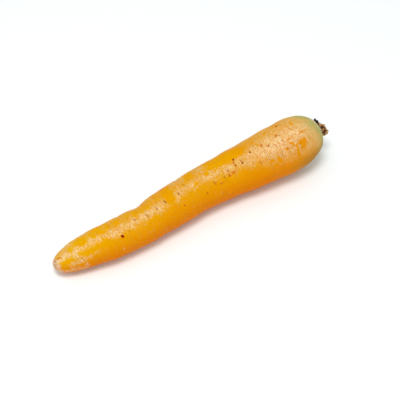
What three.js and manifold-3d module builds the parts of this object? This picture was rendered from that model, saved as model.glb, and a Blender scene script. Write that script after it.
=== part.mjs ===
// A fresh yellow carrot lying on its side, its leaves cut off and only their dried stubs left.
// One solid root, a bunch of tan leaf-stalk stubs in its crown, and one blackened stub beside them.
// Millimetres, +X from the root's tip to its crown, +Z up, the floor at z = 0.
import * as THREE from "three";
import { mergeVertices } from "three/addons/utils/BufferGeometryUtils.js";
import Module from "manifold-3d";

const wasm = await Module();
wasm.setup();

// The root from tip to crown, without the stubs.
const LENGTH = 198;
// Half thickness, sideways bend and height of the core line, every 18 mm from the tip.
const GIRTH = [8.8, 9.8, 11.4, 12.0, 12.6, 13.2, 13.5, 14.4, 15.7, 16.7, 17.5, 17.8];
const SWAY = [-0.8, -2.4, -4.3, -4.3, -2.6, -0.4, 1.5, 1.3, 0.4, 0.0, 0.2, 1.0];
const CORE_HEIGHT = [7.6, 10.1, 11.6, 11.8, 12.4, 12.8, 13.1, 14.1, 15.7, 17.0, 17.9, 17.8];
// Length over which each end rounds off.
const TIP_ROUND = 22;
const CROWN_ROUND = 30;
// The knee where the root slims on its upper far side: distance from the tip, angle, depth.
const KNEE = { at: 60.5, turn: 39, depth: 1.3, reach: 5.2, spread: 50 };
// Sunken ring round the leaf stalks, and the low pad that they stand on.
const CROWN_PIT = { radius: 6.4, width: 2.3, depth: 1.5 };
// The nick at the tip, where the thread of the taproot broke off.
const TIP_NICK = { radius: 1.9, depth: 0.9 };
// Crosswise wrinkles: distance from the tip, angle of the middle, half spread, depth.
const WRINKLES = [
  [9.5, 80, 60, 0.35],
  [17, 10, 55, 0.3],
  [33, 120, 50, 0.3],
  [47, 40, 60, 0.35],
  [71, 95, 55, 0.4],
  [83, 250, 50, 0.3],
  [92, 60, 45, 0.3],
  [108, 100, 40, 0.3],
  [124, 320, 50, 0.25],
  [139, 75, 40, 0.3],
  [157, 180, 55, 0.3],
];
const WRINKLE_WIDTH = 0.9;
const STATION_STEP = 3.5;
const SIDES = 40;
// Clear space between the root and the stubs.
const GAP = 0.3;

const rad = THREE.MathUtils.degToRad;

// A smooth curve through a list of values spread evenly from tip to crown.
function along(values, x) {
  const last = values.length - 1;
  const u = THREE.MathUtils.clamp(x / LENGTH, 0, 1) * last;
  const i = Math.min(Math.floor(u), last - 1);
  const f = u - i;
  const at = (k) => values[THREE.MathUtils.clamp(k, 0, last)];
  const [a, b, c, d] = [at(i - 1), at(i), at(i + 1), at(i + 2)];
  return b + 0.5 * f * (c - a + f * (2 * a - 5 * b + 4 * c - d + f * (3 * (b - c) + d - a)));
}

// Share of the full girth at a distance from an end that rounds off over a length.
function rounding(distance, reach) {
  const t = THREE.MathUtils.clamp(distance / reach, 0, 1);
  return Math.sqrt(Math.max(1 - Math.pow(1 - t, 2.2), 0));
}

function plainRadius(x) {
  return along(GIRTH, x) * rounding(x, TIP_ROUND) * rounding(LENGTH - x, CROWN_ROUND);
}

function bell(distance, width) {
  return Math.exp(-(distance * distance) / (width * width));
}

// Smallest difference between two angles in degrees.
function angleApart(a, b) {
  return Math.abs(((((a - b) % 360) + 540) % 360) - 180);
}

// Radius of the skin round the core line, with the knee, the wrinkles and the slow swellings.
function skinRadius(x, turn) {
  const plain = plainRadius(x);
  const share = Math.min(1, plain / 8);
  // The side that the root lies on is the smoothest.
  const swelling = share * (1 - 0.9 * bell(angleApart(turn, 270), 45));
  let radius = plain;
  radius *= 1 + 0.007 * Math.cos(rad(2 * turn + 60 + x)) + 0.005 * Math.cos(rad(3 * turn - 1.4 * x));
  radius += 0.14 * swelling * Math.sin(x / 4.1 + 1.3 * Math.sin(rad(turn + 20)));
  radius += 0.1 * swelling * Math.sin(x / 2.3 + 2.0 * Math.cos(rad(turn - 70)));
  const knee = bell(x - KNEE.at, KNEE.reach) * bell(angleApart(turn, KNEE.turn), KNEE.spread);
  radius -= KNEE.depth * knee;
  for (const [at, middle, spread, depth] of WRINKLES) {
    const wander = 0.8 * Math.sin(rad(2 * turn + 40 * at));
    const inside = bell(angleApart(turn, middle), spread);
    radius -= share * depth * inside * bell(x - at - wander, WRINKLE_WIDTH);
  }
  return Math.max(radius, 0);
}

// Stations from tip to crown: close together at the round ends and at each wrinkle.
function stations() {
  const list = [];
  for (let x = 14; x < LENGTH - 26; x += STATION_STEP) {
    if (WRINKLES.every(([at]) => Math.abs(x - at) > 2.1)) list.push(x);
  }
  for (const [at] of WRINKLES) list.push(at - 1.3, at, at + 1.3);
  for (let k = 1; k <= 9; k += 1) list.push(14 * (1 - Math.cos(rad(9 * k))));
  for (let k = 1; k <= 13; k += 1) list.push(LENGTH - 26 * (1 - Math.cos(rad(6.6 * k))));
  return list.sort((a, b) => a - b).filter((x, i, all) => i === 0 || x - all[i - 1] > 0.05);
}

function solidFrom(geometry) {
  const bare = geometry.clone();
  bare.deleteAttribute("normal");
  bare.deleteAttribute("uv");
  const merged = mergeVertices(bare, 1e-4);
  const mesh = new wasm.Mesh({
    numProp: 3,
    vertProperties: new Float32Array(merged.attributes.position.array),
    triVerts: new Uint32Array(merged.index.array),
  });
  return new wasm.Manifold(mesh);
}

function geometryFrom(solid) {
  const mesh = solid.getMesh();
  const geometry = new THREE.BufferGeometry();
  geometry.setAttribute("position", new THREE.BufferAttribute(mesh.vertProperties, 3));
  geometry.setIndex(new THREE.BufferAttribute(mesh.triVerts, 1));
  geometry.computeVertexNormals();
  return geometry;
}

// How far the crown's face is drawn in along the root at a distance from its middle.
function crownSink(distance) {
  return CROWN_PIT.depth * bell(distance - CROWN_PIT.radius, CROWN_PIT.width);
}

// The root: a turned body, bent along its core line and then let down flat on the floor.
function taprootSolid() {
  const profile = [new THREE.Vector2(0, 0)];
  for (const x of stations()) profile.push(new THREE.Vector2(plainRadius(x), x));
  profile.push(new THREE.Vector2(0, LENGTH));
  const turned = new THREE.LatheGeometry(profile, SIDES);
  // The turning axis goes from Y to X.
  turned.rotateZ(-Math.PI / 2);
  const merged = solidFrom(turned).getMesh();
  const points = merged.vertProperties;
  for (let i = 0; i < points.length; i += 3) {
    const x = points[i];
    const plain = Math.hypot(points[i + 1], points[i + 2]);
    const angle = Math.atan2(points[i + 2], points[i + 1]);
    const radius = plain < 1e-6 ? 0 : skinRadius(x, THREE.MathUtils.radToDeg(angle));
    const atCrown = x > LENGTH / 2 ? crownSink(radius) : 0;
    const atTip = x < LENGTH / 2 ? TIP_NICK.depth * bell(radius, TIP_NICK.radius) : 0;
    points[i] = x - atCrown * rounding(CROWN_ROUND - (LENGTH - x), CROWN_ROUND) + atTip;
    points[i + 1] = along(SWAY, x) + radius * Math.cos(angle);
    points[i + 2] = along(CORE_HEIGHT, x) + radius * Math.sin(angle);
  }
  const whole = new wasm.Manifold(
    new wasm.Mesh({ numProp: 3, vertProperties: points, triVerts: merged.triVerts }),
  );
  const under = new THREE.BoxGeometry(2 * LENGTH, 100, 20);
  under.translate(LENGTH / 2, 0, -10);
  return whole.subtract(solidFrom(under));
}

// Where the stalks grow from, in the middle of the crown.
const CROWN_Y = SWAY[SWAY.length - 1];
const CROWN_Z = CORE_HEIGHT[CORE_HEIGHT.length - 1];

// A leaf-stalk stub: a thick gutter-shaped strip whose hollow faces the middle of the crown.
// clock is its place round the middle and out its distance; lean tips it outward, and it ends ragged.
function stubSolid({ clock, out, lean, long, wide, thick, cut }) {
  const half = wide / 2;
  const section = new THREE.Shape();
  section.moveTo(-half, -0.45 * thick);
  section.quadraticCurveTo(-0.85 * half, 0.35 * thick, 0, 0.5 * thick);
  section.quadraticCurveTo(0.85 * half, 0.35 * thick, half, -0.45 * thick);
  section.quadraticCurveTo(0.75 * half, -0.75 * thick, 0.55 * half, -0.5 * thick);
  section.quadraticCurveTo(0, 0.1 * thick, -0.55 * half, -0.5 * thick);
  section.quadraticCurveTo(-0.75 * half, -0.75 * thick, -half, -0.45 * thick);
  const whole = long + FOOT;
  const strip = new THREE.ExtrudeGeometry(section, {
    depth: whole,
    steps: 5,
    bevelEnabled: false,
    curveSegments: 3,
  });
  const places = strip.attributes.position;
  const point = new THREE.Vector3();
  for (let i = 0; i < places.count; i += 1) {
    point.fromBufferAttribute(places, i);
    const share = point.z / whole;
    // The strip is knobbly, splays outward, and its end is torn off at a slant.
    const knob = 1 + 0.09 * Math.sin(7 * share + clock) - 0.12 * share;
    const torn = share * share * (cut * point.x + 0.45 * Math.sin(3.1 * point.x + 2.3 * point.y + clock));
    places.setXYZ(i, point.x * knob, point.y * knob + 0.6 * share * share, point.z + torn);
  }
  strip.rotateX(rad(-lean));
  strip.rotateZ(rad(clock - 90));
  // The strip's length goes from Z to X, with its foot sunk into the crown.
  strip.applyMatrix4(new THREE.Matrix4().set(0, 0, 1, 0, 1, 0, 0, 0, 0, 1, 0, 0, 0, 0, 0, 1));
  const side = out * Math.cos(rad(clock));
  const up = out * Math.sin(rad(clock));
  strip.translate(LENGTH - FOOT, CROWN_Y + side, CROWN_Z + up);
  return solidFrom(strip);
}

// How far a stub's foot reaches into the crown before it is cut clear of it.
const FOOT = 2.4;
// The tan bunch: its stubs overlap at their feet and grew as one.
const TAN_STUBS = [
  { clock: 200, out: 0.3, lean: 3, long: 4.1, wide: 3.6, thick: 3.8, cut: 0.2 },
  { clock: 218, out: 2.1, lean: 9, long: 4.7, wide: 4.4, thick: 2.9, cut: -0.15 },
  { clock: 268, out: 2.2, lean: 5, long: 2.9, wide: 4.0, thick: 2.7, cut: 0.25 },
  { clock: 168, out: 2.3, lean: 11, long: 3.9, wide: 4.0, thick: 2.7, cut: -0.25 },
  { clock: 318, out: 2.1, lean: 3, long: 2.7, wide: 4.0, thick: 2.6, cut: 0.2 },
  { clock: 116, out: 2.3, lean: 8, long: 2.9, wide: 4.0, thick: 2.6, cut: 0.2 },
  { clock: 66, out: 2.2, lean: 9, long: 2.3, wide: 3.8, thick: 2.6, cut: -0.25 },
  { clock: 20, out: 2.3, lean: 10, long: 2.4, wide: 3.8, thick: 2.4, cut: 0.2 },
  { clock: 222, out: 3.5, lean: 14, long: 2.9, wide: 4.2, thick: 2.0, cut: 0.25 },
];
const DARK_STUB = { clock: 41, out: 6.3, lean: 8, long: 0.2, wide: 4.0, thick: 3.3, cut: -0.2 };

const taproot = taprootSolid();
// The stubs' feet follow the crown's face at a clear distance.
const crownFace = taproot.translate([GAP, 0, 0]);
const tanBunch = TAN_STUBS.map(stubSolid).reduce((bunch, stub) => bunch.add(stub));

function meshOf(name, solid, colour, roughness) {
  const material = new THREE.MeshStandardMaterial({ color: colour, roughness, metalness: 0 });
  const mesh = new THREE.Mesh(geometryFrom(solid), material);
  mesh.name = name;
  return mesh;
}

const carrot = new THREE.Group();
carrot.name = "carrot";
carrot.add(
  meshOf("taproot", taproot, 0xeb9d1e, 0.5),
  meshOf("leaf_stubs", tanBunch.subtract(crownFace), 0xa98a5c, 0.85),
  meshOf("leaf_stub_dark", stubSolid(DARK_STUB).subtract(crownFace), 0x2c2119, 0.85),
);

// The origin is on the floor under the middle of the whole carrot.
const box = new THREE.Box3().setFromObject(carrot);
const middle = box.getCenter(new THREE.Vector3());
carrot.position.set(-middle.x, -middle.y, -box.min.z);

export default carrot;
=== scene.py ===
import math
import random

import bmesh
import bpy
import numpy as np
from bpy.props import FloatProperty, FloatVectorProperty, IntProperty, PointerProperty
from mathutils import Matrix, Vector, noise


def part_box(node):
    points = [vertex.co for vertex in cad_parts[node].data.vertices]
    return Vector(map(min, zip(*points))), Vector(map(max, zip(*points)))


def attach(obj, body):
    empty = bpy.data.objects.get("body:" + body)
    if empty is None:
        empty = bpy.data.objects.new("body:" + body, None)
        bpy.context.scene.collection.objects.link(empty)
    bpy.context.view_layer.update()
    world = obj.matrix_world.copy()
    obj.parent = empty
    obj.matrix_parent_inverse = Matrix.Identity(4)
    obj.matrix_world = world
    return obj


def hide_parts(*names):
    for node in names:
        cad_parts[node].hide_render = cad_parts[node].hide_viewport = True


bl_info = {
    "name": "Fresh yellow carrot",
    "version": (1, 0, 0),
    "blender": (4, 5, 0),
    "location": "View3D > Sidebar > Carrot",
    "description": "Builds one yellow carrot with its dried leaf-stalk stubs, lying on a pale floor",
    "category": "Add Mesh",
}

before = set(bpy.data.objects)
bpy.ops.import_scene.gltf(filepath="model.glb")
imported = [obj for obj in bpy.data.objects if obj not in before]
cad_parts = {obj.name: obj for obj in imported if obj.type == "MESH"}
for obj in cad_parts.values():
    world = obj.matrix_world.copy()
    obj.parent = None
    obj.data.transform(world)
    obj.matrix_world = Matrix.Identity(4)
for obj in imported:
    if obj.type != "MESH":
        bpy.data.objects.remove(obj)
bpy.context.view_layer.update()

# Shapes are worked out in millimetres and written in metres. In the tables and functions x is the
# distance from the tip, and turn is the angle round the root in degrees: 0 is the far side, 90 the
# top and 180 the near side.
MM = 0.001

# The root from tip to crown, without the stubs, in millimetres.
LENGTH = 198.0
# Half thickness, sideways bend and height of the core line, every 18 mm from the tip.
GIRTH = (8.8, 9.8, 11.4, 12.0, 12.6, 13.2, 13.5, 14.4, 15.7, 16.7, 17.5, 17.8)
SWAY = (-0.8, -2.4, -4.3, -4.3, -2.6, -0.4, 1.5, 1.3, 0.4, 0.0, 0.2, 1.0)
CORE_HEIGHT = (7.6, 10.1, 11.6, 11.8, 12.4, 12.8, 13.1, 14.1, 15.7, 17.0, 17.9, 17.8)
TIP_ROUND = 22.0
CROWN_ROUND = 30.0
# The knee where the root slims on its upper far side: place, angle, depth, reach, spread.
KNEE = (60.5, 39.0, 1.3, 5.2, 50.0)
# The sunken ring round the leaf stalks: radius, width, depth.
CROWN_PIT = (6.4, 2.3, 1.5)
# The nick where the thread of the taproot broke off: radius, depth.
TIP_NICK = (1.9, 0.9)
# Crosswise wrinkles: distance from the tip, angle of the middle, half spread, depth.
WRINKLES = (
    (9.5, 80, 60, 0.35),
    (17, 10, 55, 0.3),
    (33, 120, 50, 0.3),
    (47, 40, 60, 0.35),
    (71, 95, 55, 0.4),
    (83, 250, 50, 0.3),
    (92, 60, 45, 0.3),
    (108, 100, 40, 0.3),
    (124, 320, 50, 0.25),
    (139, 75, 40, 0.3),
    (157, 180, 55, 0.3),
)
WRINKLE_WIDTH = 0.9
# Slow swellings along the root: height, distance over which they turn, how far they wander.
SWELLINGS = ((0.14, 4.1, 1.3), (0.1, 2.3, 2.0))
# Radius under which wrinkles, creases and swellings fade out towards the ends.
FADE_RADIUS = 8.0
# Ribs that run down the crown from the leaf stalks: number, height, radius, width.
CROWN_RIBS = (9, 0.16, 8.5, 2.2)
# The slow unevenness of the skin, and how far the edges of its marks wander: amount, length.
UNEVEN = (0.1, 7.0)
WANDER = (0.32, 0.9)
# Half width of the brown line in a crease or a scar.
CREASE_BROWN_WIDTH = 0.42

# Short crosswise side-root scars: distance from the tip, angle, half spread, depth.
ROOT_SCARS = (
    (75.4, 105, 9, 0.3),
    (68.6, 110, 10, 0.28),
    (61.5, 114, 9, 0.3),
    (85.8, 107, 9, 0.22),
    (110.1, 130, 7, 0.3),
    (53.0, 103, 6, 0.25),
    (117.4, 129, 4, 0.25),
    (64.5, 47, 8, 0.25),
    (165.8, 67, 7, 0.3),
    (121.4, 130, 5, 0.22),
)
# Small dark pits in the skin, the last two a dark spot on the upper edge at the knee: distance from the
# tip, angle, radius.
PITS = (
    (41.6, 132, 0.95),
    (128.1, 98, 0.58),
    (131.9, 117, 0.56),
    (139.9, 101, 0.5),
    (127.4, 115, 0.4),
    (121.7, 118, 0.4),
    (165.8, 67, 0.6),
    (170.5, 99, 0.4),
    (103.1, 145, 0.34),
    (84.7, 164, 0.42),
    (85.8, 142, 0.34),
    (74.3, 193, 0.4),
    (37.4, 190, 0.34),
    (53, 103, 0.4),
    (152.3, 108, 0.45),
    (146, 262, 0.5),
    (98, 318, 0.6),
    (58, 340, 0.5),
    (118, 12, 0.6),
    (153, 352, 0.5),
    (30, 20, 0.5),
    (172, 300, 0.6),
    (187.6, 72, 0.3),
    (190.2, 96, 0.34),
    (184.4, 87, 0.3),
    (192, 118, 0.3),
    (188.4, 131, 0.26),
    (179, 104, 0.24),
    (182, 62, 0.3),
    (163.4, 84, 0.26),
    (144.2, 118, 0.24),
    (135.6, 104, 0.22),
    (79, 50, 0.55),
    (79.9, 54, 0.5),
)
# Raw orange grazes in the bloom: distance from the tip, angle, radius.
GRAZES = (
    (159.8, 96, 1.15),
    (148.2, 100, 1.2),
    (121, 131, 1.1),
    (162.4, 133, 0.9),
    (85.8, 107, 0.6),
    (134, 8, 1.2),
    (88, 290, 1.1),
    (160, 330, 1.1),
    (47, 330, 0.9),
)
# Thin brownish strokes: two ends, each a distance from the tip and an angle, and a radius.
STROKES = (
    ((126.6, 103), (127.3, 119), 0.3),
    ((122.4, 133), (125.8, 124), 0.4),
    ((122.8, 125), (125.9, 133), 0.36),
    ((2.9, 84), (5.2, 96), 0.4),
    ((112.8, 142), (117, 138), 0.34),
    ((149, 107), (152.8, 107), 0.22),
    ((112.6, 140), (117.2, 139), 0.3),
    ((110.4, 126), (110.8, 140), 0.24),
    ((120.8, 121), (121.2, 129), 0.24),
    ((127.5, 119), (126.6, 128), 0.24),
    ((141.5, 128), (143, 139), 0.22),
    ((155, 108), (157, 122), 0.22),
    ((160.4, 118), (162, 126), 0.22),
    ((167, 66), (168.5, 78), 0.24),
    ((60, 325), (61, 345), 0.26),
    ((104, 285), (105, 305), 0.26),
    ((140, 340), (141.5, 358), 0.26),
)
# Dark hairline scratches and cracks, in the same order as the strokes.
SCRATCHES = (
    ((131.6, 108), (132, 118), 0.26),
    ((127.9, 99), (127.2, 108), 0.2),
    ((127.2, 108), (127.4, 119), 0.28),
    ((152.2, 103), (152.6, 113), 0.24),
    ((160.2, 92), (162.4, 102), 0.2),
    ((170.2, 90), (170.9, 104), 0.16),
    ((161.2, 109), (162.4, 121), 0.16),
    ((178.2, 84), (179.6, 92), 0.14),
    ((183.2, 93), (184.2, 103), 0.18),
    ((185.6, 78), (186.6, 88), 0.16),
    ((139.6, 96), (140.2, 105), 0.2),
    ((121.5, 114), (122, 121), 0.2),
    ((110, 122), (110.4, 134), 0.18),
    ((60.6, 104), (61.6, 120), 0.22),
    ((75, 98), (75.8, 111), 0.26),
    ((68.4, 98), (68.9, 114), 0.18),
    ((91.6, 82), (92.3, 96), 0.16),
    ((96.4, 78), (97, 90), 0.16),
    ((85.6, 98), (86.2, 112), 0.2),
    ((56, 78), (56.6, 90), 0.16),
    ((52.8, 98), (53.6, 106), 0.22),
    ((46.2, 124), (47.4, 130), 0.14),
    ((117.4, 126), (117.8, 133), 0.16),
    ((103, 140), (103.4, 154), 0.16),
    ((82.6, 128), (83, 146), 0.12),
    ((157.2, 68), (158.6, 76), 0.16),
    ((24.6, 100), (25.4, 112), 0.14),
    ((14.6, 140), (15.8, 156), 0.12),
    ((64, 300), (64.8, 322), 0.22),
    ((108, 340), (108.8, 2), 0.22),
    ((142, 318), (142.8, 340), 0.2),
    ((176, 352), (177.4, 12), 0.2),
)
# Where the dried bloom has flaked off: distance from the tip, angle, half length, half spread
# and amount.
BARE_PATCHES = (
    (172.6, 134, 2, 5, 1),
    (174.5, 141, 2, 7, 1.1),
    (171.8, 146, 1.7, 4, 0.8),
    (175.4, 131, 1.2, 4, 0.7),
    (165.6, 126, 0.9, 3, 0.7),
    (167.2, 130, 1, 4, 0.8),
    (168.3, 137, 1, 4, 0.8),
    (169, 144, 1, 4, 0.6),
    (162.2, 133, 1.5, 5, 0.8),
    (168.6, 156, 1.1, 10, 0.8),
    (166.5, 116, 2.6, 3, 0.6),
    (173.7, 87, 1, 9, 0.75),
    (176.6, 115, 3, 3, 0.85),
    (149.8, 144, 1.7, 3, 0.9),
    (154.8, 144, 1, 6, 0.9),
    (152, 157, 1.8, 4, 0.7),
    (155.2, 154, 1.4, 5, 0.8),
    (145, 80, 1.6, 5, 0.75),
    (146, 95, 1.2, 6, 0.6),
    (156, 73, 2.4, 5, 0.45),
    (134, 80, 6, 14, 0.85),
    (118.5, 74, 7, 20, 1.3),
    (126.5, 82, 7, 14, 1),
    (99, 62, 2.6, 24, 1.2),
    (79.6, 84, 3, 27, 1.1),
    (79, 112, 2.2, 13, 0.7),
    (99.6, 108, 2, 5, 0.7),
    (108.3, 99, 1.6, 6, 0.75),
    (107, 124, 2.6, 6, 0.3),
    (56.5, 82, 2.2, 12, 0.45),
    (64.5, 84, 3, 8, 0.35),
    (42.5, 82, 2.2, 16, 0.5),
    (36.5, 92, 2, 10, 0.4),
    (31, 72, 2.3, 24, 0.8),
    (31, 128, 2.2, 12, 0.9),
    (26.3, 96, 1.5, 10, 0.6),
    (18.4, 86, 3, 20, 1.1),
    (11.6, 92, 1.6, 14, 0.6),
    (22, 137, 3.2, 9, 0.8),
    (15.6, 127, 1.6, 9, 0.7),
    (7.4, 136, 3, 13, 0.8),
    (6.2, 172, 1.8, 10, 0.6),
    (14.6, 172, 2.2, 7, 0.7),
    (26, 318, 7, 25, 0.5),
    (68, 352, 6, 22, 0.6),
    (112, 330, 8, 25, 0.6),
    (150, 20, 5, 16, 0.8),
    (164, 350, 4, 12, 0.8),
    (140, 285, 6, 20, 0.5),
    (92, 300, 5, 16, 0.5),
)
# Where it lies thickest, in the same order.
PALE_PATCHES = (
    (90, 66, 7, 24, 0.44),
    (107.5, 74, 5, 26, 0.6),
    (64, 108, 9, 9, 0.12),
    (120, 112, 6, 9, 0.16),
    (131, 124, 5, 12, 0.12),
    (28, 107, 4, 10, 0.15),
    (22, 116, 3, 10, 0.2),
    (36, 128, 3, 8, 0.2),
    (55, 130, 4, 6, 0.15),
    (6, 82, 5, 40, 0.3),
    (12.6, 64, 1.6, 18, 0.45),
    (14, 98, 2.4, 12, 0.3),
    (8, 112, 5, 10, 0.25),
    (15, 152, 3.6, 20, 0.6),
    (9.5, 160, 2.6, 13, 0.5),
    (12.5, 130, 1.4, 9, 0.5),
    (9.5, 149, 3.4, 9, 0.45),
    (11, 190, 3, 14, 0.9),
    (20, 152, 3.4, 9, 0.4),
    (6.5, 194, 3, 18, 0.9),
    (16, 198, 2.4, 10, 0.7),
    (16.5, 176, 1.3, 7, 0.55),
    (18, 190, 1.2, 12, 0.4),
    (5.4, 104, 0.9, 8, 0.6),
    (9, 76, 1.2, 12, 0.4),
    (17, 60, 5, 9, 0.3),
    (25, 146, 2.5, 6, 0.3),
    (12, 250, 9, 35, 0.35),
    (30, 20, 12, 25, 0.25),
    (85, 335, 14, 30, 0.3),
    (160, 320, 14, 40, 0.3),
    (120, 270, 14, 30, 0.25),
)
# Splits and crumbled edges in the cork of the tip, in the same order.
TIP_SPLITS = (
    ((1.6, 78), (2.1, 99), 0.3),
    ((0.6, 50), (0.35, 88), 0.28),
    ((0.35, 92), (0.3, 128), 0.36),
    ((0.2, 136), (0.8, 172), 0.24),
    ((1, 180), (1.7, 212), 0.15),
    ((1.1, 108), (2, 116), 0.16),
    ((1.6, 66), (3, 72), 0.2),
    ((3.2, 50), (4.9, 45), 0.24),
    ((0.7, 285), (1.8, 310), 0.26),
    ((1.2, 240), (2.6, 250), 0.2),
)

# The dried leaf stalks: place round the middle of the crown, distance from it, outward lean,
# length, width, thickness and slant of the torn end.
TAN_STUBS = (
    (200, 0.3, 3, 4.1, 3.6, 3.8, 0.2),
    (218, 1.7, 8, 4.7, 4.2, 2.8, -0.15),
    (268, 1.5, 5, 2.9, 4.0, 2.5, 0.25),
    (168, 2.0, 10, 3.9, 3.9, 2.6, -0.25),
    (318, 1.9, 3, 2.7, 4.0, 2.5, 0.2),
    (116, 1.8, 7, 2.9, 3.9, 2.4, 0.2),
    (66, 1.5, 6, 2.2, 3.7, 2.3, -0.25),
    (20, 1.9, 8, 2.3, 3.7, 2.2, 0.2),
    (222, 2.3, 11, 2.9, 4.0, 2.0, 0.25),
    (50, 3.7, 4, 0.9, 2.6, 1.8, -0.2),
)
DARK_STUBS = ((39, 5.1, 7, 0.3, 4.1, 3.0, -0.2),)
# Loose fibres: place round the middle, distance from it, foot from the crown's end, length,
# outward curl and share of the usual thickness.
FIBRES = (
    (60, 3.7, 0.2, 3.4, 1.2, 2.4),
    (68, 3.5, 0.5, 3.8, 0.8, 2.0),
    (52, 3.9, 0.0, 2.8, 1.5, 2.4),
    (195, 1.2, 1.8, 3.3, 0.4, 0.8),
    (228, 2.6, 1.6, 3.0, 0.7, 0.7),
    (180, 3.2, 0.8, 3.1, 0.8, 0.7),
    (285, 3.0, 0.2, 3.0, 0.9, 0.8),
    (340, 3.0, 0.0, 2.8, 0.7, 0.8),
    (130, 3.0, 0.4, 3.0, 0.6, 0.7),
)
# How far a stub's foot reaches into the crown.
FOOT = 2.4
CROWN_MIDDLE = (SWAY[-1], CORE_HEIGHT[-1])

# The stage, in metres: half the floor's side, how far it lies under the root, where the camera and
# the lamps aim, the camera's sensor in millimetres, and the places and sizes of the lamps.
FLOOR_HALF = 3.0
FLOOR_GAP = 0.00005
AIM = (-0.00133, -0.00521, 0.01192)
SENSOR_MM = 36
KEY_LAMP = ((-0.2, -0.17, 0.95), 0.42)
FILL_LAMP = ((-0.75, -0.85, 0.5), 0.8)


def linear(hex_colour):
    """An sRGB hex colour as linear red, green and blue."""
    channels = [int(hex_colour[i : i + 2], 16) / 255 for i in (1, 3, 5)]
    return tuple(c / 12.92 if c <= 0.04045 else ((c + 0.055) / 1.055) ** 2.4 for c in channels)


def along(values, x):
    """A smooth curve through values spread evenly from tip to crown, at each x."""
    values = np.asarray(values, float)
    last = len(values) - 1
    u = np.clip(np.asarray(x, float) / LENGTH, 0, 1) * last
    i = np.minimum(u.astype(int), last - 1)
    f = u - i
    a, b, c, d = (values[np.clip(i + k, 0, last)] for k in (-1, 0, 1, 2))
    return b + 0.5 * f * (c - a + f * (2 * a - 5 * b + 4 * c - d + f * (3 * (b - c) + d - a)))


def rounding(distance, reach):
    """Share of the full girth at a distance from an end that rounds off over a length."""
    t = np.clip(distance / reach, 0, 1)
    return np.sqrt(np.maximum(1 - (1 - t) ** 2.2, 0))


def bell(distance, width):
    """1 at no distance, falling off smoothly on both sides."""
    return np.exp(-(distance**2) / width**2)


def step(value, low, high):
    """Smooth step from 0 at low to 1 at high."""
    t = np.clip((value - low) / (high - low), 0, 1)
    return t * t * (3 - 2 * t)


def angle_apart(a, b):
    """Smallest difference between two angles in degrees."""
    return np.abs((a - b + 180) % 360 - 180)


def plain_radius(x):
    """Half thickness of the root with its rounded ends."""
    return along(GIRTH, x) * rounding(x, TIP_ROUND) * rounding(LENGTH - x, CROWN_ROUND)


def skin_radius(x, turn):
    """Radius of the skin round the core line, with the knee, the wrinkles and the swellings."""
    plain = plain_radius(x)
    share = np.minimum(1, plain / FADE_RADIUS)
    # The girth is a little oval and a little three-sided, and both twist along the root.
    lobes = 0.007 * np.cos(np.radians(2 * turn + 60 + x))
    lobes += 0.005 * np.cos(np.radians(3 * turn - 1.4 * x))
    radius = plain * (1 + lobes)
    # The swellings leave out the underside, on which the root rests.
    swelling = share * (1 - 0.9 * bell(angle_apart(turn, 270), 45))
    for height, length, swing in SWELLINGS:
        radius += height * swelling * np.sin(x / length + swing * np.sin(np.radians(turn + 20)))
    at, middle, depth, reach, spread = KNEE
    radius -= depth * bell(x - at, reach) * bell(angle_apart(turn, middle), spread)
    for at, middle, spread, depth in WRINKLES:
        wander = 0.8 * np.sin(np.radians(2 * turn + 40 * at))
        inside = bell(angle_apart(turn, middle), spread)
        radius -= share * depth * inside * bell(x - at - wander, WRINKLE_WIDTH)
    return np.maximum(radius, 0)


def fine_creases(draws, count, depth_share):
    """Hairline crosswise creases drawn at random over the root, as rows like those of ROOT_SCARS."""
    rows = []
    for _ in range(count):
        x = draws.uniform(5, 186)
        turn = draws.gauss(100, 70) if draws.random() < 0.6 else draws.uniform(0, 360)
        rows.append((x, turn % 360, draws.uniform(6, 34), depth_share * draws.uniform(0.05, 0.15)))
    return rows


def skin_point(x, turn, radius=None):
    """Places on the skin in millimetres, before the root is set over the frame's origin."""
    radius = skin_radius(x, turn) if radius is None else radius
    angle = np.radians(turn)
    sink = CROWN_PIT[2] * bell(radius - CROWN_PIT[0], CROWN_PIT[1])
    sink = sink * rounding(CROWN_ROUND - (LENGTH - x), CROWN_ROUND)
    nick = np.where(x < LENGTH / 2, TIP_NICK[1] * bell(radius, TIP_NICK[0]), 0)
    return np.stack(
        [
            x - sink + nick,
            along(SWAY, x) + radius * np.cos(angle),
            along(CORE_HEIGHT, x) + radius * np.sin(angle),
        ],
        axis=-1,
    )


def mark_field(points, x, turn, size):
    """1 in the middle of a small round mark, 0.5 on its edge and 0 outside, at each point."""
    middle = skin_point(np.float64(x), np.float64(turn))
    return np.clip(1 - np.linalg.norm(points - middle, axis=-1) / (2 * size), 0, 1)


def split_field(points, one, other, size):
    """The same for a mark along a line between two places on the skin, thinner at its ends."""
    a, b = (skin_point(np.float64(x), np.float64(turn)) for x, turn in (one, other))
    line = b - a
    share = np.clip((points - a) @ line / (line @ line), 0, 1)
    size = size * (0.45 + 0.75 * np.sin(math.pi * share))
    apart = np.linalg.norm(points - a - share[..., None] * line, axis=-1)
    return np.clip(1 - apart / (2 * size), 0, 1)


def patch_sum(x, turn, patches):
    """Sum of soft oval patches on the skin."""
    total = np.zeros_like(x)
    for at, middle, half_long, half_spread, amount in patches:
        total += amount * bell(x - at, half_long) * bell(angle_apart(turn, middle), half_spread)
    return total


def ring_places(rings):
    """Distances from the tip of the mesh's rings, closer together where the ends round off."""
    tip, crown = 14.0, 26.0
    tip_rings, crown_rings = rings // 12, rings // 7
    middle = np.linspace(tip, LENGTH - crown, rings - tip_rings - crown_rings, endpoint=False)
    at_tip = tip * (1 - np.cos(np.linspace(0, math.pi / 2, tip_rings + 1)[1:-1]))
    at_crown = LENGTH - crown * (1 - np.cos(np.linspace(math.pi / 2, 0, crown_rings + 1)[:-1]))
    return np.concatenate([at_tip, middle, at_crown])


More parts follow.
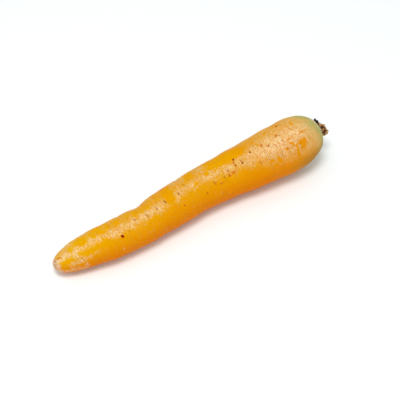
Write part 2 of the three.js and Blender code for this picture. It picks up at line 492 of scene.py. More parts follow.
def add_node(tree, kind, inputs=None, stops=(), **settings):
    """Adds one node, sets its fields and a ramp's stops, and fills or links its inputs."""
    node = tree.nodes.new("ShaderNode" + kind)
    for field, value in settings.items():
        setattr(node, field, value)
    if stops:
        elements = node.color_ramp.elements
        while len(elements) < len(stops):
            elements.new(0.5)
        for element, (position, colour) in zip(elements, stops):
            element.position = position
            element.color = colour
    for name, value in (inputs or {}).items():
        if isinstance(value, bpy.types.NodeSocket):
            tree.links.new(value, node.inputs[name])
        else:
            node.inputs[name].default_value = value
    return node


def new_material(name):
    """A material with only its output node, its tree and that node."""
    material = bpy.data.materials.new(name)
    material.use_nodes = True
    tree = material.node_tree
    tree.nodes.clear()
    return material, tree, tree.nodes.new("ShaderNodeOutputMaterial")


# Fresh carrot skin, washed and then dried in air: a thin translucent yellow-orange cork skin
# over moist flesh. Where it has dried, its outer cells lift into a pale matt bloom that breaks
# off in flakes and along crosswise lines; where it is whole it is saturated and satin. The dried
# cells are 0.1 mm wide, too fine to show, so grain and mottling are drawn 0.7 to 1.5 mm wide.
def carrot_skin(colours, mark_names):
    """The skin's material; mark_names are the fields of the root's mesh that it reads."""
    material, tree, output = new_material("Carrot skin, washed and air-dried")
    paint = {name: (*getattr(colours, name), 1) for name in CarrotColours.__annotations__}
    place = add_node(tree, "TexCoord").outputs["Object"]
    in_mm = add_node(tree, "VectorMath", {0: place, "Scale": 1 / MM}, operation="SCALE").outputs[0]
    marks = {name: add_node(tree, "Attribute", attribute_name=name).outputs["Fac"] for name in mark_names}

    # Each noise: stretch of x, y and z, size of its grains in millimetres, detail, roughness. The
    # bloom has flakes about 5 mm long, crosswise lines 0.8 mm apart and 5 mm long, and mottling of
    # 1.5 mm. Bare islands are 3 mm long, and the skin's tone changes slowly, over 25 mm.
    noises, swings = {}, {}
    for name, stretch, size, detail, rough in (
        ("flakes", (1.2, 0.85, 0.85), 5.0, 8, 0.74),
        ("lines", (1.15, 0.13, 0.13), 0.8, 3, 0.6),
        ("mottle", (1.3, 0.8, 0.8), 1.5, 4, 0.7),
        ("islands", (1.0, 1.0, 1.0), 3.0, 7, 0.66),
        ("fray", (1.3, 0.6, 0.6), 0.8, 3, 0.6),
        ("slow", (1.0, 1.0, 1.0), 25, 2, 0.5),
        ("grain", (1.0, 1.0, 1.0), 0.7, 3, 0.6),
    ):
        moved = add_node(tree, "VectorMath", {0: in_mm, 1: stretch}, operation="MULTIPLY")
        inputs = {"Vector": moved.outputs[0], "Scale": 1 / size, "Detail": detail, "Roughness": rough}
        noises[name] = add_node(tree, "TexNoise", inputs).outputs["Fac"]
    # A noise swings a field up and down round its own middle of 0.5.
    for name in ("flakes", "lines", "mottle", "islands", "fray", "slow"):
        inputs = {0: noises[name], 1: 0.5}
        swings[name] = add_node(tree, "Math", inputs, operation="SUBTRACT").outputs[0]
    # Frayed crosswise lines, strong where the bloom is streaked.
    inputs = {0: swings["lines"], 1: 1.2, 2: swings["fray"]}
    ragged = add_node(tree, "Math", inputs, operation="MULTIPLY_ADD").outputs[0]
    inputs = {0: ragged, 1: marks["streak"]}
    swings["ragged"] = add_node(tree, "Math", inputs, operation="MULTIPLY").outputs[0]

    # Each field is a mark, or 1, with its own share of the swings added.
    fields = {}
    for name, field, parts in (
        ("bloom", marks["bloom"], (("flakes", 1.0), ("ragged", 1.5))),
        ("bare", marks["bare"], (("islands", 2.2), ("ragged", 0.6), ("fray", 0.8))),
        ("gold", marks["gold"], (("slow", 1.2),)),
        ("pale", marks["pale"], (("mottle", 2.6),)),
        ("patchy", 1.0, (("flakes", 1.6), ("mottle", 1.9))),
        ("crease", marks["crease"], (("fray", 1.2),)),
        *((name, marks[name], (("fray", 0.8),)) for name in ("cap", "graze", "cork", "pit")),
    ):
        for part, share in parts:
            inputs = {0: swings[part], 1: share, 2: field}
            field = add_node(tree, "Math", inputs, operation="MULTIPLY_ADD").outputs[0]
        fields[name] = field

    # Each amount goes from one value to another between two levels of what it reads, softly or
    # straight. Haze and faint hold for the crown, flaky and strong for the streaked rest; kept is
    # what the bare islands leave of the bloom.
    soft, straight = "SMOOTHSTEP", "LINEAR"
    amounts = {}
    for name, read, low, high, at_low, at_high, way in (
        ("haze", fields["bloom"], 0.04, 0.95, 0.0, 0.86, soft),
        ("flaky", fields["bloom"], 0.1, 0.76, 0.0, 0.86, soft),
        ("faint", noises["mottle"], 0.36, 0.64, 0.66, 1.12, straight),
        ("strong", noises["mottle"], 0.36, 0.64, 0.26, 1.34, straight),
        ("kept", fields["bare"], 0.42, 0.53, 1.0, 0.0, soft),
        ("freckle", noises["grain"], 0.36, 0.64, 0.92, 1.07, straight),
        ("powder", noises["grain"], 0.36, 0.64, 0.78, 1.12, straight),
        ("crease", fields["crease"], 0.35, 1.05, 0.0, 0.75, soft),
        ("cap", fields["cap"], 0.4, 0.6, 0.0, 1.0, soft),
        ("graze", fields["graze"], 0.42, 0.7, 0.0, 1.0, soft),
        ("cork", fields["cork"], 0.4, 0.6, 0.0, 1.0, soft),
        ("pit", fields["pit"], 0.42, 0.58, 0.0, 1.0, soft),
        ("halo", marks["pit"], 0.05, 0.5, 0.0, 0.5, straight),
    ):
        inputs = {"Value": read, "From Min": low, "From Max": high, "To Min": at_low, "To Max": at_high}
        amounts[name] = add_node(tree, "MapRange", inputs, interpolation_type=way).outputs["Result"]

    # Towards the crown the bloom is more of a haze; elsewhere it lies in flakes with crisp edges.
    mixed = []
    for one, other in (("haze", "flaky"), ("faint", "strong")):
        inputs = {0: marks["streak"], 2: amounts[one], 3: amounts[other]}
        mixed.append(add_node(tree, "Mix", inputs, data_type="FLOAT").outputs[0])
    cover, mottle = mixed
    bloom = add_node(tree, "Math", {0: cover, 1: mottle}, operation="MULTIPLY").outputs[0]
    inputs = {0: bloom, 1: amounts["kept"]}
    bloom = add_node(tree, "Math", inputs, operation="MULTIPLY", use_clamp=True).outputs[0]

    # The bare skin goes from orange to golden, most at the tip, and is finely freckled. Low on the sides
    # it is deeper and more orange, partly its own colour and partly painted shade and painted orange
    # bounce light, laid by the shade field, which also warms the dried cells there. The dried cells are
    # tan where they lie thin and cream where they lie thick, and differ more in how much light they
    # throw back; the cream of their band on top is partly a painted highlight.
    layers = []
    for colour, mixes, tone in (
        ("skin_warm", ((fields["gold"], "skin"), (marks["shade"], "skin_deep_and_shaded")), "freckle"),
        ("bloom", ((marks["shade"], "bloom_warm_and_shaded"), (fields["pale"], "bloom_pale")), "powder"),
    ):
        layer = paint[colour]
        for share, over in mixes:
            inputs = {0: share, 6: layer, 7: paint[over]}
            layer = add_node(tree, "Mix", inputs, data_type="RGBA").outputs[2]
        scaled = add_node(tree, "VectorMath", {0: layer, "Scale": amounts[tone]}, operation="SCALE")
        layers.append(scaled.outputs[0])

    # Greened shoulder: the part that stood out of the soil, from the stalks outward. Each stop has
    # its place, its colour and how much it covers.
    inputs = {0: marks["crown"], 1: fields["patchy"]}
    patchy = add_node(tree, "Math", inputs, operation="MULTIPLY").outputs[0]
    stops = (
        (0.0, (*colours.shoulder_gold, 0.0)),
        (0.27, (*colours.shoulder_gold, 0.5)),
        (0.52, (*colours.shoulder_green, 0.9)),
        (0.77, (*colours.shoulder_pale, 0.88)),
        (0.9, (*colours.shoulder_pale, 0.9)),
    )
    shoulder = add_node(tree, "ValToRGB", {0: patchy}, stops=stops)

    # From the bottom up: bloom on bare skin, the shoulder and the painted shade of its olive low
    # side, brown lines in the creases, the dried cap of the tip, raw grazes, the reddened rims of the
    # pits, cork splits and the dark pits.
    inputs = {0: amounts["cap"], 1: mottle}
    cap = add_node(tree, "Math", inputs, operation="MULTIPLY", use_clamp=True).outputs[0]
    skin = layers[0]
    for share, over in (
        (bloom, layers[1]),
        (shoulder.outputs["Alpha"], shoulder.outputs["Color"]),
        (marks["low"], paint["shoulder_low"]),
        (amounts["crease"], paint["crease"]),
        (cap, paint["cap"]),
        (amounts["graze"], paint["graze"]),
        (amounts["halo"], paint["skin_deep_and_shaded"]),
        (amounts["cork"], paint["cork"]),
        (amounts["pit"], paint["pit"]),
    ):
        skin = add_node(tree, "Mix", {0: share, 6: skin, 7: over}, data_type="RGBA").outputs[2]

    # Relief in millimetres: the bloom stands proud, and the grain and the lines are cut in.
    relief = 0.0
    for part, height in ((bloom, 0.03), (noises["grain"], 0.035), (swings["ragged"], 0.05)):
        inputs = {0: part, 1: height, 2: relief}
        relief = add_node(tree, "Math", inputs, operation="MULTIPLY_ADD").outputs[0]
    inputs = {"Value": bloom, "To Min": 0.34, "To Max": 0.55}
    roughness = add_node(tree, "MapRange", inputs).outputs["Result"]
    inputs = {
        "Base Color": skin,
        "Roughness": roughness,
        "IOR": 1.4,
        "Specular IOR Level": 0.02,
        "Subsurface Weight": 0.15,
        "Subsurface Radius": (1.0, 0.35, 0.08),
        "Subsurface Scale": 0.0012,
        "Normal": add_node(tree, "Bump", {"Height": relief, "Strength": 1, "Distance": MM}).outputs[0],
    }
    shader = add_node(tree, "BsdfPrincipled", inputs)
    tree.links.new(shader.outputs[0], output.inputs["Surface"])
    return material


# Dried leaf stalk, torn off and air-dried: straw-coloured fibres run along it, it carries stains of
# its own, and it is quite matt. It goes brown to black in its hollows and towards its foot on the
# crown, which is painted shade. The short stub beside the bunch is near-black throughout, and the
# loose fibres bleach to grey. The real ribs are about 0.1 mm wide, too fine to show, so they are
# drawn 0.3 to 0.45 mm wide.
def dried_stalk(name, tones, rib_mm):
    """Fibrous stalk; tones go from the palest ridge to the darkest hollow, the hollows' dark being painted
    shade.
    """
    material, tree, output = new_material(name)
    place = add_node(tree, "TexCoord").outputs["Object"]
    in_mm = add_node(tree, "VectorMath", {0: place, "Scale": 1 / MM}, operation="SCALE").outputs[0]
    drawn = add_node(tree, "VectorMath", {0: in_mm, 1: (0.2, 1, 1)}, operation="MULTIPLY").outputs[0]
    inputs = {"Vector": drawn, "Scale": 1 / rib_mm, "Detail": 4, "Roughness": 0.65}
    ribs = add_node(tree, "TexNoise", inputs).outputs["Fac"]
    stains = add_node(tree, "TexNoise", {"Vector": in_mm, "Scale": 1 / 1.4, "Detail": 3}).outputs["Fac"]
    # The hollow field is painted shade: high in the recesses and towards the foot.
    depth = add_node(tree, "Attribute", attribute_name="hollow").outputs["Fac"]
    for part, share in ((ribs, 0.9), (stains, 0.7)):
        inputs = {0: part, 1: share, 2: depth}
        depth = add_node(tree, "Math", inputs, operation="MULTIPLY_ADD").outputs[0]
    inputs = {"Value": depth, "From Min": 0.45, "From Max": 1.25}
    depth = add_node(tree, "MapRange", inputs).outputs["Result"]
    stops = [(k / (len(tones) - 1), (*tone, 1)) for k, tone in enumerate(tones)]
    relief = add_node(tree, "Math", {0: ribs, 1: 0.3}, operation="MULTIPLY").outputs[0]
    inputs = {
        "Base Color": add_node(tree, "ValToRGB", {0: depth}, stops=stops).outputs["Color"],
        "Roughness": 0.85,
        "IOR": 1.45,
        "Specular IOR Level": 0.25,
        "Normal": add_node(tree, "Bump", {"Height": relief, "Strength": 1, "Distance": MM}).outputs[0],
    }
    shader = add_node(tree, "BsdfPrincipled", inputs)
    tree.links.new(shader.outputs[0], output.inputs["Surface"])
    return material


def creased_skin(x, turn, sizes):
    """The skin's radius with its creases, scars and crown ribs, and the brown line in the creases."""
    draws = random.Random(11)
    radius = skin_radius(x, turn)
    share = np.minimum(1, plain_radius(x) / FADE_RADIUS)
    crease_brown = np.zeros_like(x)
    rows = list(ROOT_SCARS) + fine_creases(draws, sizes.creases, sizes.crease_depth)
    for at, middle, spread, depth in rows:
        skew = draws.uniform(-0.02, 0.02) * ((turn - middle + 180) % 360 - 180)
        width = draws.uniform(0.34, 0.55)
        inside = bell(angle_apart(turn, middle), spread)
        across = x - at - skew
        # Each crease is a fine cut with its lips a little raised.
        lips = 0.35 * bell(np.abs(across) - 1.9 * width, width)
        radius += share * depth * inside * (lips - bell(across, width))
        # The brown line in a crease is stronger the deeper the crease.
        crease_brown = np.maximum(crease_brown, min(1, 0.35 + 3 * depth) * inside * bell(across, CREASE_BROWN_WIDTH))
    number, height, middle, width = CROWN_RIBS
    ribs = np.cos(np.radians(number * turn + 30)) * bell(radius - middle, width)
    radius += share * height * ribs * step(x, 184, 192)
    return np.maximum(radius, 0), crease_brown


def small_marks(points, x, turn):
    """The pits, grazes, cork and scratches, each from 0 outside to 1 in the middle of a mark."""
    # They are laid on crooked places, so that their edges wander.
    amount, length = WANDER
    wander = np.array([noise.noise_vector(Vector(p) / length) for p in points.reshape(-1, 3)])
    crooked = points + amount * wander.reshape(points.shape)
    marks = {name: np.zeros_like(x) for name in ("pit", "graze", "cork", "scratch")}
    for name, rows in (("pit", PITS), ("graze", GRAZES)):
        for at, middle, size in rows:
            marks[name] = np.maximum(marks[name], mark_field(crooked, at, middle, size))
    # Strokes and scratches are too fine to show as wide as their rows say, so they are drawn wider.
    lines = (("graze", STROKES, 1.4), ("cork", TIP_SPLITS, 1), ("scratch", SCRATCHES, 1.7))
    for name, rows, widening in lines:
        for one, other, size in rows:
            marks[name] = np.maximum(marks[name], split_field(crooked, one, other, widening * size))
    for at, middle, spread, depth in ROOT_SCARS:
        inside = bell(angle_apart(turn, middle), spread) * bell(x - at, CREASE_BROWN_WIDTH)
        marks["cork"] = np.maximum(marks["cork"], 0.62 * inside)
    return marks


def bloom_fields(x, turn):
    """How thick and how pale the dried bloom lies, its paleness partly a painted highlight, how far it has
    flaked off, how streaked it is.
    """
    # It lies thick on the side that stayed up, down to a lower edge that wavers and fades.
    edge = 125 + 7 * step(x, 112, 122) + 23 * step(x, 140, 158) - 7 * bell(x - 98, 15)
    edge += 3 * np.sin(x / 5.3) + 2 * np.sin(x / 2.1)
    fade = 13 + 3 * step(x, 108, 120) + 15 * step(x, 126, 146)
    above = 1 - step(turn, edge - fade, edge + fade)
    flank = step(turn, 84, 104)
    bloom = (0.6 * flank + 0.24 * step(turn, 20, 50) * (1 - flank)) * above
    bloom += 0.34 * step(x, 124, 158) * step(turn, 40, 90) * above
    # Elsewhere it is thin: towards the crown, on the far side, and low on the thick end.
    bloom += 0.09 * step(x, 130, 150) - 0.015 + 0.12 * step(x, 176, 190)
    bloom += 0.24 * bell(angle_apart(turn, 30), 30)
    bloom += 0.2 * bell(angle_apart(turn, 300), 50) * step(x, 110, 150)
    bloom += patch_sum(x, turn, PALE_PATCHES)
    # Paleness, cream against tan. The band round turn 112 and the crown's middle at the same turn face the
    # light: there the cream is partly thicker bloom and partly a painted highlight, and the tan elsewhere
    # is partly painted shade. The tip is paler in its own colour.
    pale = 0.1 + 0.42 * bell(angle_apart(turn, 112), 18) + 0.34 * bell(x - 156, 20) * bell(turn - 113, 22)
    pale += 0.25 * (1 - step(x, 22, 50)) - 0.2 * bell(x - 142, 12)
    bare = 0.19 - 0.11 * step(x, 130, 150) + patch_sum(x, turn, BARE_PATCHES)
    streak = 0.8 + 0.2 * step(x, 26, 44) - step(x, 116, 142)
    return {
        "bloom": np.clip(bloom, 0, 1.2),
        "pale": pale,
        "bare": bare,
        "streak": np.clip(streak, 0.25, 1),
    }


def tint_fields(x, turn):
    """The dried cap of the tip, how golden the skin is, and how deep it is low on the sides, partly painted
    shade.
    """
    ripple = 0.5 * np.sin(np.radians(7 * turn)) + 0.35 * np.sin(np.radians(17 * turn + 40))
    cap = 1 - step(x + ripple + 1.2 * np.cos(np.radians(turn - 110)), 1.6, 5.6)
    gold = 0.42 + 0.58 * (1 - step(x, 10, 42)) - 0.15 * bell(x - 80, 8) - 0.2 * step(x, 120, 150)
    # Painted shade and painted orange bounce light: the skin is deeper low on the sides, over a deeper tone
    # of its own. The second term makes the bare islands on top towards the crown more orange in their own
    # colour.
    shade = step(angle_apart(turn, 90), 30, 110) * (1 - 0.4 * step(x, 150, 180))
    shade = np.maximum(shade, 0.35 * step(x, 128, 158) * step(turn, 85, 120))
    return {"cap": cap, "gold": gold, "shade": shade}


def crown_fields(points, x, turn):
    """The greened shoulder, the painted shade on its olive low side, and the cork round the feet of the
    stalks.
    """
    out = np.hypot(points[..., 1] - CROWN_MIDDLE[0], points[..., 2] - CROWN_MIDDLE[1])
    end = step(x, 170, 190)
    # The green reaches furthest down the side that stood in the light.
    exposed = 1 - step(angle_apart(turn, 50), 20, 90)
    wavering = 1.8 * np.sin(np.radians(3 * turn + 60))
    wavering += 1.3 * np.sin(np.radians(7 * turn)) * np.sin(x / 4)
    crown = (0.34 + 0.3 * exposed) * step(x + 5 * exposed + wavering, 173, 195)
    crown += (0.42 * bell(out, 8.5) + 0.18 * bell(out - 11.5, 2.4)) * end
    # Painted shade: the shoulder turns olive brown low on its near side.
    low = 0.6 * step(x, 158, 182) * step(turn, 156, 188) * (1 - step(turn, 235, 285))
    return crown, low, 0.7 * bell(out, 5.2) * end


def ring_mesh(name, points, tip, top):
    """A closed mesh through rings of points, with a point in the middle of either end."""
    rings, sides = points.shape[:2]
    vertices = np.concatenate([points.reshape(-1, 3), [tip, top]]) * MM
    tip_index, top_index = rings * sides, rings * sides + 1
    last = (rings - 1) * sides
    pairs = [(j, (j + 1) % sides) for j in range(sides)]
    faces = []
    for row in range(0, last, sides):
        faces += [(row + j, row + k, row + sides + k, row + sides + j) for j, k in pairs]
    faces += [(k, j, tip_index) for j, k in pairs]
    faces += [(last + j, last + k, top_index) for j, k in pairs]
    mesh = bpy.data.meshes.new(name)
    mesh.from_pydata(vertices.tolist(), [], faces)
    whole = bmesh.new()
    whole.from_mesh(mesh)
    bmesh.ops.recalc_face_normals(whole, faces=whole.faces)
    whole.to_mesh(mesh)
    whole.free()
    return mesh


def frame_shift():
    """How far the root is moved so that it lies over the frame's origin, as the CAD root does."""
    low, high = (np.array(corner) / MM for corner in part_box("taproot"))
    x, turn = np.meshgrid(ring_places(360), np.arange(0, 360, 3.0), indexing="ij")
    points = skin_point(x, turn)
    own_low, own_high = points.min(axis=(0, 1)), points.max(axis=(0, 1))
    shift = (low + high) / 2 - (own_low + own_high) / 2
    return np.array([shift[0], shift[1], 0.0])


def link_piece(piece, node, material):
    """Puts a piece in the scene in place of its CAD node, on the one body of the part."""
    bpy.context.collection.objects.link(piece)
    piece.data.materials.append(material)
    for polygon in piece.data.polygons:
        polygon.use_smooth = True
    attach(piece, "root")
    if node:
        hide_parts(node)


class CarrotSizes(bpy.types.PropertyGroup):
    rings: IntProperty(
        name="Rings", description="Rings of the root's mesh from tip to crown", default=536, min=60
    )
    sides: IntProperty(name="Sides", description="Points on each ring", default=176, min=24)
    creases: IntProperty(name="Fine creases", description="Hairline crosswise creases", default=110, min=0)
    crease_depth: FloatProperty(
        name="Crease depth",
        description="Share of the usual depth of the fine creases",
        default=1.0,
        subtype="FACTOR",
    )
    pit_depth: FloatProperty(
        name="Pit depth", description="Depth of the small dark pits", default=0.00025, unit="LENGTH"
    )
    fibre_thickness: FloatProperty(
        name="Fibre thickness",
        description="Usual thickness of the loose dry fibres",
        default=0.00016,
        unit="LENGTH",
    )


def user_colour(name, description, hex_colour):
    """A colour that the user can change, given as sRGB hex."""
    return FloatVectorProperty(
        name=name, description=description, subtype="COLOR", default=linear(hex_colour)
    )


class CarrotColours(bpy.types.PropertyGroup):
    skin: user_colour("Skin", "Whole skin", "#DDA300")
    skin_warm: user_colour("Warm skin", "Whole skin where it is more orange", "#DA9000")
    # Deep skin and warm bloom are laid low on the sides, partly as their own colour and partly as painted
    # shade and painted orange bounce light. Deep skin also colours the rims of the pits.
    skin_deep_and_shaded: user_colour("Deep skin", "Skin low on the sides", "#DA7A00")
    bloom: user_colour("Bloom", "Dried outer cells", "#D5A65A")
    bloom_warm_and_shaded: user_colour("Warm bloom", "Dried cells low on the sides", "#D99A58")
    # Pale bloom is laid along the lit band on top, partly as a painted highlight.
    bloom_pale: user_colour("Pale bloom", "Palest dried cells", "#EFCE9A")
    shoulder_gold: user_colour("Golden shoulder", "Where the green begins", "#CBB06C")
    shoulder_green: user_colour("Shoulder", "Greened shoulder", "#A0A65A")
    # Low shoulder is painted shade on the shoulder's low side.
    shoulder_low: user_colour("Low shoulder", "Olive brown low on the shoulder", "#8F6E2C")
    shoulder_pale: user_colour("Pale shoulder", "Pale ring round the stalks", "#C3BC98")
    graze: user_colour("Grazes", "Raw orange grazes", "#CC7418")
    # Creases: the brown laid along the creases and the scratches.
    crease: user_colour("Creases", "Soil-stained hairline creases", "#A8641E")
    cap: user_colour("Dry tip", "Dried cap of the tip", "#D6B698")
    cork: user_colour("Cork", "Brown splits at the tip and scars at the stalks' feet", "#744418")
    pit: user_colour("Pits", "Small dark pits", "#7C1410")
    stalk_pale: user_colour("Stalk ridges", "Palest fibres of the dried stalk", "#DDB27C")
    stalk: user_colour("Stalk", "Dried stalk", "#C0925A")
    # The stalk's browner and darker tones are laid in its hollows and at its foot as painted shade.
    stalk_brown: user_colour("Brown stalk", "Browned flesh of the stalk", "#74492A")
    stalk_dark: user_colour("Stalk hollows", "Hollows of the dried stalk", "#2C190E")
    fibre: user_colour("Loose fibres", "Bleached dry fibres", "#A99E8A")
    # The near-black of the short stub beside the bunch.
    stalk_black: user_colour("Blackened stalk", "Withered stalk", "#1B0F08")


class CarrotStage(bpy.types.PropertyGroup):
    lens: FloatProperty(name="Lens", description="Focal length in millimetres", default=100.0)
    azimuth: FloatProperty(
        name="Azimuth",
        description="Camera's turn round the carrot",
        default=math.radians(-33),
        subtype="ANGLE",
    )
    elevation: FloatProperty(
        name="Elevation",
        description="Camera's height over the horizon",
        default=math.radians(46),
        subtype="ANGLE",
    )
    distance: FloatProperty(name="Distance", description="Camera to carrot", default=0.69, unit="LENGTH")
    floor_colour: user_colour("Floor", "Pale floor", "#F6FAFA")
    key_power: FloatProperty(
        name="Key light", description="Power of the overhead light", default=4.6, unit="POWER"
    )
    fill_power: FloatProperty(
        name="Fill light", description="Power of the front light", default=0.9, unit="POWER"
    )
    surround: FloatProperty(name="Surround", description="Strength of the white surround", default=0.7)


class CARROT_OT_root(bpy.types.Operator):
    """Adds the root with its skin"""

    bl_idname = "carrot.root"
    bl_label = "Add root"

    def execute(self, context):
        sizes, colours = context.scene.carrot_sizes, context.scene.carrot_colours
        turns = np.arange(sizes.sides) * 360 / sizes.sides
        x, turn = np.meshgrid(ring_places(sizes.rings), turns, indexing="ij")
        radius, crease_brown = creased_skin(x, turn, sizes)
        points = skin_point(x, turn, radius)
        core = np.stack([x, along(SWAY, x), along(CORE_HEIGHT, x)], axis=-1)
        outward = points - core
        outward /= np.maximum(np.linalg.norm(outward, axis=-1, keepdims=True), 1e-6)
        height, length = UNEVEN
        uneven = np.array([noise.noise(Vector(p) / length) for p in points.reshape(-1, 3)])
        share = np.minimum(1, plain_radius(x) / FADE_RADIUS)
        points += outward * (height * share * uneven.reshape(x.shape))[..., None]
        # The pits and the cork splits are sunk into the skin.
        marks = small_marks(points, x, turn)
        sunk = step(marks["pit"], 0.1, 0.9) + 1.1 * step(marks["cork"], 0.1, 0.9)
        points -= outward * (sizes.pit_depth / MM * sunk)[..., None]
        crown, low, feet = crown_fields(points, x, turn)

        shift = frame_shift()
        placed = points + shift
        placed[..., 2] = np.maximum(placed[..., 2], 0)
        crown_sink = float(CROWN_PIT[2] * bell(CROWN_PIT[0], CROWN_PIT[1]))
        tip = [TIP_NICK[1] + shift[0], SWAY[0] + shift[1], CORE_HEIGHT[0]]
        top = [LENGTH - crown_sink + shift[0], SWAY[-1] + shift[1], CORE_HEIGHT[-1]]
        mesh = ring_mesh("carrot_root", placed, tip, top)
        fields = {
            **bloom_fields(x, turn),
            **tint_fields(x, turn),
            "crown": crown,
            "low": low,
            "crease": np.maximum(crease_brown, 1.3 * marks["scratch"]),
            "graze": marks["graze"],
            "cork": np.maximum(marks["cork"], feet),
            "pit": marks["pit"],
        }
        for name, values in fields.items():
            layer = mesh.attributes.new(name, "FLOAT", "POINT")
            at_ends = [values[0].mean(), values[-1].mean()]
            layer.data.foreach_set("value", np.concatenate([values.ravel(), at_ends]).astype(np.float32))
        piece = bpy.data.objects.new("carrot_root", mesh)
        link_piece(piece, "taproot", carrot_skin(colours, fields))
        return {"FINISHED"}


def close_rings(whole, rings):
    """Adds the faces between rings of a bmesh's vertices, and one over either end."""
    for one, other in zip(rings, rings[1:]):
        for j in range(len(one)):
            k = (j + 1) % len(one)
            whole.faces.new((one[j], one[k], other[k], other[j]))
    whole.faces.new(list(reversed(rings[0])))
    whole.faces.new(rings[-1])


def add_stub(whole, row):
    """Adds one leaf-stalk stub to a bmesh: a thick gutter whose hollow faces the crown's middle."""
    place, out, lean, length, width, thick, cut = row
    half, long = width / 2, length + FOOT
    points_round, steps = 40, 30
    clock, lean = math.radians(place), math.radians(lean)
    rings = []
    for k in range(steps + 1):
        share = k / steps
        ring = []
        for j in range(points_round):
            angle = 2 * math.pi * j / points_round
            # A crescent: the back bulges outward and the front is hollowed.
            across = half * math.cos(angle)
            depth = 0.5 * thick * math.sin(angle)
            hollow = 0.42 * thick * (1 - (across / half) ** 2) - 0.2 * thick
            knob = 1 + 0.09 * math.sin(7 * share + place) - 0.12 * share
            rib = 1 + 0.05 * math.cos(9 * angle + place)
            lx = across * knob * rib
            ly = (depth + hollow) * knob * rib + 0.6 * share * share
            # The end is torn off slanting and wavy, with a fine fringe.
            wave = 0.45 * math.sin(3.1 * across + 2.3 * depth + place)
            torn = share * share * (cut * across + wave)
            fringe = share**6 * 0.5 * noise.noise(Vector((2.6 * lx, 2.6 * ly, place)))
            lz = long * share + torn + fringe
            # Lean outward, then turn to its place round the middle.
            oy = ly * math.cos(lean) + lz * math.sin(lean) + out
            oz = lz * math.cos(lean) - ly * math.sin(lean)
            side = CROWN_MIDDLE[0] + oy * math.cos(clock) + lx * math.sin(clock)
            up = CROWN_MIDDLE[1] + oy * math.sin(clock) - lx * math.cos(clock)
            ring.append(whole.verts.new((LENGTH - FOOT + oz, side, up)))
        rings.append(ring)
    close_rings(whole, rings)


def stub_piece(name, rows, node, material, voxel):
    """One closed, frayed piece grown together from its stubs."""
    shift = frame_shift()
    whole = bmesh.new()
    for row in rows:
        add_stub(whole, row)
    bmesh.ops.recalc_face_normals(whole, faces=whole.faces)
    for vertex in whole.verts:
        vertex.co = (vertex.co + Vector(shift)) * MM
    mesh = bpy.data.meshes.new(name)
    whole.to_mesh(mesh)
    whole.free()
    rough = bpy.data.objects.new(name + "_rough", mesh)
    bpy.context.collection.objects.link(rough)
    remesh = rough.modifiers.new("grown together", "REMESH")
    remesh.mode = "VOXEL"
    remesh.voxel_size = voxel
    remesh.use_smooth_shade = True
    depsgraph = bpy.context.evaluated_depsgraph_get()
    joined = bpy.data.meshes.new_from_object(rough.evaluated_get(depsgraph))
    bpy.data.objects.remove(rough)
    joined.name = name
    # Ribs along the stalk and dried-out knots, cut into the joined surface.
    normals = [vertex.normal.copy() for vertex in joined.vertices]
    crown_end = LENGTH + shift[0]
    hollow = []
    for vertex, normal in zip(joined.vertices, normals):
        place = vertex.co / MM
        rib = noise.noise(Vector((0.3 * place.x, 1.9 * place.y, 1.9 * place.z)))
        knot = noise.noise(0.9 * place + Vector((7, 3, 1)))
        fibre = noise.noise(Vector((0.6 * place.x, 5.0 * place.y, 5.0 * place.z)))
        vertex.co += normal * MM * (0.34 * rib + 0.2 * knot + 0.1 * fibre - 0.2)
        # Painted shade: the material is darker in the hollows and towards the foot.
        foot = max(0.0, min(1.0, 1 - (place.x - crown_end) / 3))
        hollow.append(0.42 * foot - 0.12 - 0.65 * rib - 0.4 * knot - 0.3 * fibre)
    layer = joined.attributes.new("hollow", "FLOAT", "POINT")
    layer.data.foreach_set("value", hollow)
    link_piece(bpy.data.objects.new(name, joined), node, material)


class CARROT_OT_stubs(bpy.types.Operator):
    """Adds the tan bunch of leaf-stalk stubs and the near-black stub beside it"""

    bl_idname = "carrot.stubs"
    bl_label = "Add leaf-stalk stubs"

    def execute(self, context):
        colours = context.scene.carrot_colours
        tones = (colours.stalk_pale, colours.stalk, colours.stalk_brown, colours.stalk_dark)
        tan = dried_stalk("Leaf stalk, torn and air-dried", tones, 0.45)
        tones = (colours.stalk_dark, colours.stalk_black, colours.stalk_black)
        black = dried_stalk("Leaf stalk, near-black", tones, 0.45)
        stub_piece("carrot_leaf_stubs", TAN_STUBS, "leaf_stubs", tan, 0.13 * MM)
        stub_piece("carrot_dark_stub", DARK_STUBS, "leaf_stub_dark", black, 0.12 * MM)
        return {"FINISHED"}


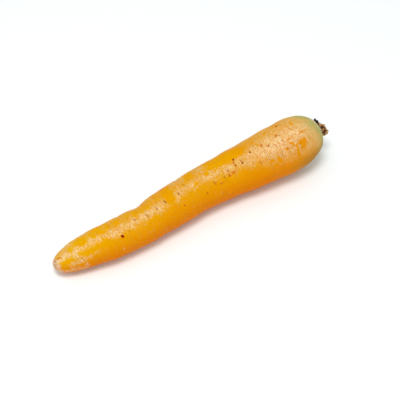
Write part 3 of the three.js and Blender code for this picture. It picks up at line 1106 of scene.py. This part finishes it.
class CARROT_OT_fibres(bpy.types.Operator):
    """Adds the loose dry fibres that curl out of the torn stubs"""

    bl_idname = "carrot.fibres"
    bl_label = "Add loose fibres"

    def execute(self, context):
        colours = context.scene.carrot_colours
        thickness = context.scene.carrot_sizes.fibre_thickness / MM
        shift = Vector(frame_shift())
        middle = Vector((LENGTH, *CROWN_MIDDLE))
        points_round, steps = 7, 14
        whole = bmesh.new()
        for clock, out, foot, long, curl, thin in FIBRES:
            angle = math.radians(clock)
            outward = Vector((0, math.cos(angle), math.sin(angle)))
            sideways = Vector((0, -math.sin(angle), math.cos(angle)))
            rings = []
            for k in range(steps + 1):
                share = k / steps
                core = middle + outward * (out + 0.45 * long * share * share * curl)
                core += Vector((foot + long * share * (1 - 0.3 * share), 0, 0))
                core += sideways * (0.25 * long * share * math.sin(2.4 * share + clock))
                radius = 0.5 * thickness * thin * (1.1 - share)
                radius *= 1 + 0.15 * math.sin(9 * share + clock)
                ring = []
                for j in range(points_round):
                    turn = 2 * math.pi * j / points_round
                    rim = outward * (radius * math.cos(turn)) + sideways * (radius * math.sin(turn))
                    ring.append(whole.verts.new((core + rim + shift) * MM))
                rings.append(ring)
            close_rings(whole, rings)
        bmesh.ops.recalc_face_normals(whole, faces=whole.faces)
        mesh = bpy.data.meshes.new("carrot_loose_fibres")
        whole.to_mesh(mesh)
        whole.free()
        mesh.attributes.new("hollow", "FLOAT", "POINT")
        tones = (colours.fibre, colours.fibre, colours.stalk)
        material = dried_stalk("Leaf fibres, bleached and dry", tones, 0.3)
        link_piece(bpy.data.objects.new("carrot_loose_fibres", mesh), None, material)
        return {"FINISHED"}


def add_aimed(name, data, place, aim):
    """Adds a camera or a lamp at a place and turns it towards another."""
    aimed = bpy.data.objects.new(name, data)
    aimed.location = place
    aimed.rotation_mode = "QUATERNION"
    aimed.rotation_quaternion = (aim - place).to_track_quat("-Z", "Y")
    bpy.context.collection.objects.link(aimed)
    return aimed


class CARROT_OT_stage(bpy.types.Operator):
    """Adds the pale floor, the soft lights, the surround and the camera"""

    bl_idname = "carrot.stage"
    bl_label = "Add stage"

    def execute(self, context):
        scene, stage = context.scene, context.scene.carrot_stage
        mesh = bpy.data.meshes.new("floor")
        signs = ((-1, -1), (1, -1), (1, 1), (-1, 1))
        corners = [(FLOOR_HALF * x, FLOOR_HALF * y, -FLOOR_GAP) for x, y in signs]
        mesh.from_pydata(corners, [], [(0, 1, 2, 3)])
        floor = bpy.data.objects.new("floor", mesh)
        context.collection.objects.link(floor)
        # Matt white paper sweep: even, almost without gloss.
        material, tree, output = new_material("Paper sweep, matt white")
        inputs = {"Base Color": (*stage.floor_colour, 1), "Roughness": 0.9, "Specular IOR Level": 0.1}
        shader = add_node(tree, "BsdfPrincipled", inputs)
        tree.links.new(shader.outputs[0], output.inputs["Surface"])
        mesh.materials.append(material)

        aim = Vector(AIM)
        level = math.cos(stage.elevation)
        north, east = math.cos(stage.azimuth), math.sin(stage.azimuth)
        back = Vector((east * level, -north * level, math.sin(stage.elevation)))
        camera_data = bpy.data.cameras.new("camera")
        camera_data.lens = stage.lens
        camera_data.sensor_width = SENSOR_MM
        camera_data.clip_start, camera_data.clip_end = 0.01, 20
        scene.camera = add_aimed("camera", camera_data, aim + back * stage.distance, aim)

        lamps = (("key", *KEY_LAMP, stage.key_power), ("fill", *FILL_LAMP, stage.fill_power))
        for name, place, size, power in lamps:
            lamp = bpy.data.lights.new(name, "AREA")
            lamp.shape = "DISK"
            lamp.size = size
            lamp.energy = power
            add_aimed(name, lamp, Vector(place), aim)

        world = bpy.data.worlds.new("surround")
        world.use_nodes = True
        world.node_tree.nodes["Background"].inputs["Color"].default_value = (1, 1, 1, 1)
        world.node_tree.nodes["Background"].inputs["Strength"].default_value = stage.surround
        scene.world = world
        scene.view_settings.view_transform = "Standard"
        return {"FINISHED"}


class CARROT_PT_panel(bpy.types.Panel):
    """Lists the carrot's pieces and the stage"""

    bl_idname = "CARROT_PT_panel"
    bl_label = "Yellow carrot"
    bl_space_type = "VIEW_3D"
    bl_region_type = "UI"
    bl_category = "Carrot"

    def draw(self, context):
        for operator in OPERATORS:
            self.layout.operator(operator.bl_idname)
        for group in (context.scene.carrot_sizes, context.scene.carrot_colours, context.scene.carrot_stage):
            for name in group.__annotations__:
                self.layout.prop(group, name)


OPERATORS = (CARROT_OT_root, CARROT_OT_stubs, CARROT_OT_fibres, CARROT_OT_stage)
GROUPS = {"carrot_sizes": CarrotSizes, "carrot_colours": CarrotColours, "carrot_stage": CarrotStage}


def register():
    for group in GROUPS.values():
        bpy.utils.register_class(group)
    for name, group in GROUPS.items():
        setattr(bpy.types.Scene, name, PointerProperty(type=group))
    for made in (*OPERATORS, CARROT_PT_panel):
        bpy.utils.register_class(made)


def unregister():
    for made in reversed((*OPERATORS, CARROT_PT_panel)):
        bpy.utils.unregister_class(made)
    for name in GROUPS:
        delattr(bpy.types.Scene, name)
    for group in GROUPS.values():
        bpy.utils.unregister_class(group)


def main():
    register()
    bpy.ops.carrot.root()
    bpy.ops.carrot.stubs()
    bpy.ops.carrot.fibres()
    bpy.ops.carrot.stage()


if __name__ == "__main__":
    main()
